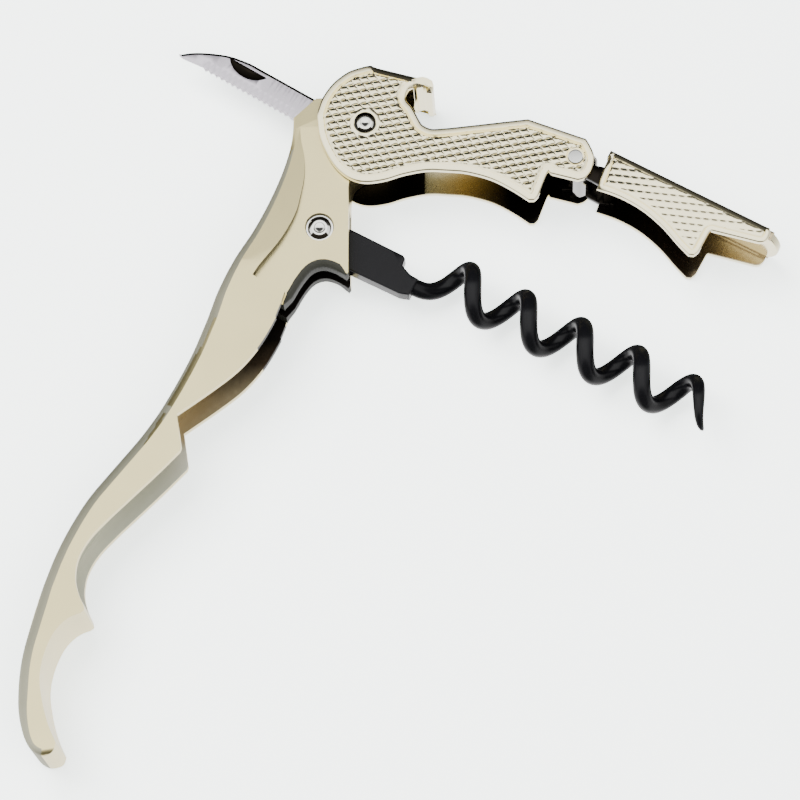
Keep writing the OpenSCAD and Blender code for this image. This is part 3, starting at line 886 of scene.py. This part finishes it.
def make_worm():
    """A flat tang with eased edges, and a wire that leaves it, coils and ends in a point."""
    low, high = (c.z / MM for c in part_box("worm_tang"))
    loops = [smooth(l, 0.3) for l in section("worm_tang", MID + 0.5)]
    add("worm_tang_flat", solid(loops, low, high, 0.28, 0.28, steps=3), "worm", black, "black_coating",
        ["worm_tang"])
    wire, outer, pitch, turns, start, off = 2.75, 9.0, 9.75, 5, 18.2, 2.6
    radius = (outer - wire) / 2
    lead, ease = 3.3, 2.1
    steps, sides = 44, 22
    taper = 0.66
    line, sizes = [], []
    for i in range(turns * steps + 1):
        a = 2 * math.pi * i / steps
        x = start + pitch * i / steps - lead * math.exp(-ease * a)
        line.append((x, off - radius * math.cos(a), -radius * math.sin(a)))
        left = min(1.0, (turns - i / steps) / taper)
        sizes.append(wire / 2 * (0.10 + 0.90 * math.sqrt(left)))
    x, y = line[0][:2]
    line = np.array([(x - 1.6, y - 0.35, 0.0), (x - 0.8, y - 0.12, 0.0)] + line)
    sizes = [wire / 2 * 0.94, wire / 2] + sizes
    ahead = np.gradient(line, axis=0)
    ahead /= np.linalg.norm(ahead, axis=1)[:, None]
    verts, faces = [], []
    for p, t, r in zip(line, ahead, sizes):
        a = np.cross(t, [0.3, 0.2, 1.0])
        a /= np.linalg.norm(a)
        b = np.cross(t, a)
        for k in range(sides):
            w = 2 * math.pi * k / sides
            verts.append(in_worm_frame(*(p + r * (a * math.cos(w) + b * math.sin(w)))))
    for i in range(len(line) - 1):
        for k in range(sides):
            l = (k + 1) % sides
            faces.append([i * sides + k, i * sides + l, (i + 1) * sides + l, (i + 1) * sides + k])
    faces.append(list(range(sides))[::-1])
    end = (len(line) - 1) * sides
    verts.append(in_worm_frame(*(line[-1] + ahead[-1] * 0.14)))
    faces += [[end + k, end + (k + 1) % sides, len(verts) - 1] for k in range(sides)]
    add("worm_wire", (verts, faces), "worm", black, "black_coating", ["worm_helix"], sharp=60, weighted=False)


# ---- knife ----
def make_knife():
    """A serrated foil blade, ground thin towards its edge, with a half-moon nail nick."""
    low, high = (c.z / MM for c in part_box("knife_blade"))
    loops = [smooth(l, 0.3, corner=12) for l in section("knife_blade", MID - 0.2)]
    c, s = math.cos(KNIFE_DIR), math.sin(KNIFE_DIR)

    def local(points):
        d = points - MAIN
        return d[:, 0] * c + d[:, 1] * s, d[:, 0] * s - d[:, 1] * c

    def world(t, n):
        return MAIN + np.array([t * c + n * s, t * s - n * c])

    nick_at, nick_mid, nick_long, nick_tall, nick_top, nick_deep = 22.2, 1.65, 3.95, 3.25, 0.15, 0.42
    heel, toe, grind_from, grind_deep = 9.5, 30.5, -2.0, 0.36
    spine_r, edge_r = 0.5, 0.06
    first = math.asin((nick_top - nick_mid) / nick_tall)
    bow = [(nick_at + nick_long * math.cos(a), nick_mid + nick_tall * math.sin(a))
           for a in np.linspace(first, -math.pi - first, 22)]
    nick = even(np.array([world(t, n) for t, n in bow]), 0.3)
    foot = even(np.array([world(nick_at + (t - nick_at) * 0.985, n - 0.05) for t, n in bow]), 0.3)
    strip = [(heel, grind_from), (toe, grind_from), (toe, grind_from - 0.02), (heel, grind_from - 0.02)]
    ground = even(np.array([world(t, n) for t, n in strip]), 0.5)

    def grind(points):
        t, n = local(points)
        return -grind_deep * np.clip((grind_from - n) / 1.6, 0, 1) * np.clip((t - 8) / 2, 0, 1)

    def near(points):
        t, n = local(points)
        e = ((t - nick_at) / nick_long) ** 2 + ((n - nick_mid) / nick_tall) ** 2
        return grind(points) - nick_deep * np.clip((1 - e) * 1.6, 0, 1) ** 0.6 * (n < nick_top - 0.02)

    grid = [np.arange(nick[:, k].min(), nick[:, k].max(), 0.22) for k in (0, 1)]
    dots = np.stack(np.meshgrid(*grid, indexing="ij"), -1).reshape(-1, 2)
    dots = dots[inside(dots, [nick])]
    dots = dots[distance(dots, [nick]) > 0.08]
    spine = []
    for loop in loops:
        out = -inward(loop)
        spine.append(np.where(out[:, 0] * s - out[:, 1] * c > 0.3, spine_r, edge_r))
    shape = solid(loops, low, high, edge_r, spine, steps=3, relief=near, more=[nick, foot, ground], dots=dots,
                  far_relief=lambda p: -grind(p))
    blade = add("knife_foil_blade", shape, "knife", blade_steel, "blade_steel", ["knife_blade"])
    # Painted reflection: the spine's round is painted black on its faces that look out of the spine. Painted
    # shade: the inside of the nail nick on the near face is painted black.
    blade.data.materials.append(shade_and_reflection_black)
    for face in blade.data.polygons:
        x, y, z = face.center / MM
        middle = np.array([[x, y]])
        near_edge = z > high - spine_r - 0.05 and distance(middle, loops)[0] < spine_r + 0.02
        upward = face.normal.x * s - face.normal.y * c > 0.15
        if (near_edge and upward and face.normal.z < 0.985) or (z > MID and inside(middle, [nick])[0]):
            face.material_index = 1


# ---- small pieces that stay as the frame has them ----
def keep_nodes():
    """Gives the hidden washers and springs their metals and eased edges."""
    for node, material in (("worm_detent_spring", spring_steel), ("spring_rivet", spring_steel),
                           ("main_pivot_washers", brass), ("knife_washers", brass), ("worm_washers", brass),
                           ("hinge_spacer", rivet_metal)):
        piece = frame["nodes"][node]
        piece.data.materials.clear()
        piece.data.materials.append(material)
        bevel = piece.modifiers.new("edges", "BEVEL")
        bevel.width = 0.04 * MM
        bevel.segments = 2
        bevel.limit_method = "ANGLE"
        bevel.angle_limit = math.radians(40)


# ---- studio ----
def make_camera():
    """Looks down on the flat of the tool, from a little below it and to its right."""
    tilt, yaw, away = math.radians(17.01), math.radians(2.416), 523.1 * MM
    aim = Vector((MAIN[0] + 5.21, MAIN[1] - 43.58, MID)) * MM
    turn = Matrix.Rotation(yaw, 4, "Y") @ Matrix.Rotation(tilt, 4, "X")
    data = bpy.data.cameras.new("camera")
    data.sensor_width = 36
    data.lens = 153
    data.clip_start, data.clip_end = 0.05, 10
    camera = bpy.data.objects.new("camera", data)
    camera.matrix_world = Matrix.Translation(aim + turn @ Vector((0, 0, away))) @ turn
    bpy.context.scene.collection.objects.link(camera)
    bpy.context.scene.camera = camera


def make_floor():
    """A pale floor under the tool, which polished metal doesn't mirror."""
    mesh = bpy.data.meshes.new("floor")
    half = 1.5
    corners = [(-half, -half), (half, -half), (half, half), (-half, half)]
    mesh.from_pydata([(x, y, -0.02 * MM) for x, y in corners], [], [[0, 1, 2, 3]])
    floor = bpy.data.objects.new("floor", mesh)
    bpy.context.scene.collection.objects.link(floor)
    paint = bpy.data.materials.new("floor_paper")
    paint.use_nodes = True
    shader = paint.node_tree.nodes["Principled BSDF"]
    shader.inputs["Base Color"].default_value = (0.90, 0.94, 0.925, 1)
    shader.inputs["Roughness"].default_value = 0.85
    shader.inputs["Specular IOR Level"].default_value = 0.1
    shader.inputs["Emission Color"].default_value = (0.90, 0.97, 0.94, 1)
    shader.inputs["Emission Strength"].default_value = 1.7
    mesh.materials.append(paint)
    floor.visible_glossy = False


def area_light(name, place, size, power):
    """A soft light that looks at the tool and shows in no reflection."""
    data = bpy.data.lights.new(name, "AREA")
    data.shape = "RECTANGLE"
    data.size, data.size_y = size
    data.energy = power
    lamp = bpy.data.objects.new(name, data)
    lamp.location = place
    lamp.rotation_mode = "QUATERNION"
    lamp.rotation_quaternion = (Vector((0, 0, 0)) - Vector(place)).to_track_quat("-Z", "Y")
    lamp.visible_camera = False
    lamp.visible_glossy = False
    bpy.context.scene.collection.objects.link(lamp)


def make_world():
    """A soft tent: bright above and in front, dark behind the tool, for black lines on polished bends."""
    world = bpy.data.worlds.new("studio")
    bpy.context.scene.world = world
    world.use_nodes = True
    nodes, links = world.node_tree.nodes, world.node_tree.links
    nodes.clear()
    place = nodes.new("ShaderNodeTexCoord")
    split = nodes.new("ShaderNodeSeparateXYZ")
    links.new(place.outputs["Generated"], split.inputs["Vector"])

    def ramp(value, stops):
        unit = nodes.new("ShaderNodeMapRange")
        unit.inputs["From Min"].default_value = -1
        links.new(value, unit.inputs["Value"])
        made = nodes.new("ShaderNodeValToRGB")
        while len(made.color_ramp.elements) < len(stops):
            made.color_ramp.elements.new(0.5)
        for element, (at, tone) in zip(made.color_ramp.elements, stops):
            element.position = (at + 1) / 2
            element.color = (*([tone] * 3 if isinstance(tone, float) else tone), 1)
        links.new(unit.outputs["Result"], made.inputs["Fac"])
        return made.outputs["Color"]

    def times(a, b):
        made = nodes.new("ShaderNodeMix")
        made.data_type = "RGBA"
        made.blend_type = "MULTIPLY"
        made.inputs["Factor"].default_value = 1
        links.new(a, made.inputs["A"])
        links.new(b, made.inputs["B"])
        return made.outputs["Result"]

    depth = ramp(split.outputs["Y"], [(-1, 0.06), (-0.82, 0.10), (-0.62, 0.85), (-0.2, 1.0), (0.38, 1.0),
                                      (0.52, 0.05), (1, 0.012)])
    height = ramp(split.outputs["Z"], [(-1, 1.0), (-0.4, 0.85), (0.0, 0.7), (0.5, 0.92), (0.85, 1.0)])
    width = ramp(split.outputs["X"], [(-1, 0.75), (-0.5, 0.95), (0.3, 1.0), (0.7, 0.7), (1, 0.4)])
    tent = nodes.new("ShaderNodeBackground")
    tent.inputs["Strength"].default_value = 2.7
    links.new(times(times(depth, height), width), tent.inputs["Color"])
    plain = nodes.new("ShaderNodeBackground")
    plain.inputs["Color"].default_value = (0.90, 0.95, 0.93, 1)
    plain.inputs["Strength"].default_value = 4.0
    seen = nodes.new("ShaderNodeLightPath")
    mix = nodes.new("ShaderNodeMixShader")
    links.new(seen.outputs["Is Camera Ray"], mix.inputs["Fac"])
    links.new(tent.outputs["Background"], mix.inputs[1])
    links.new(plain.outputs["Background"], mix.inputs[2])
    out = nodes.new("ShaderNodeOutputWorld")
    links.new(mix.outputs["Shader"], out.inputs["Surface"])


make_camera()
make_floor()
make_world()
area_light("key", (-0.35, 0.30, 0.75), (0.6, 0.6), 16.0)
area_light("fill", (0.45, -0.35, 0.7), (0.7, 0.7), 7.0)

make_handle()
make_first_lever()
make_second_lever()
make_rivets()
make_spring()
make_worm()
make_knife()
keep_nodes()
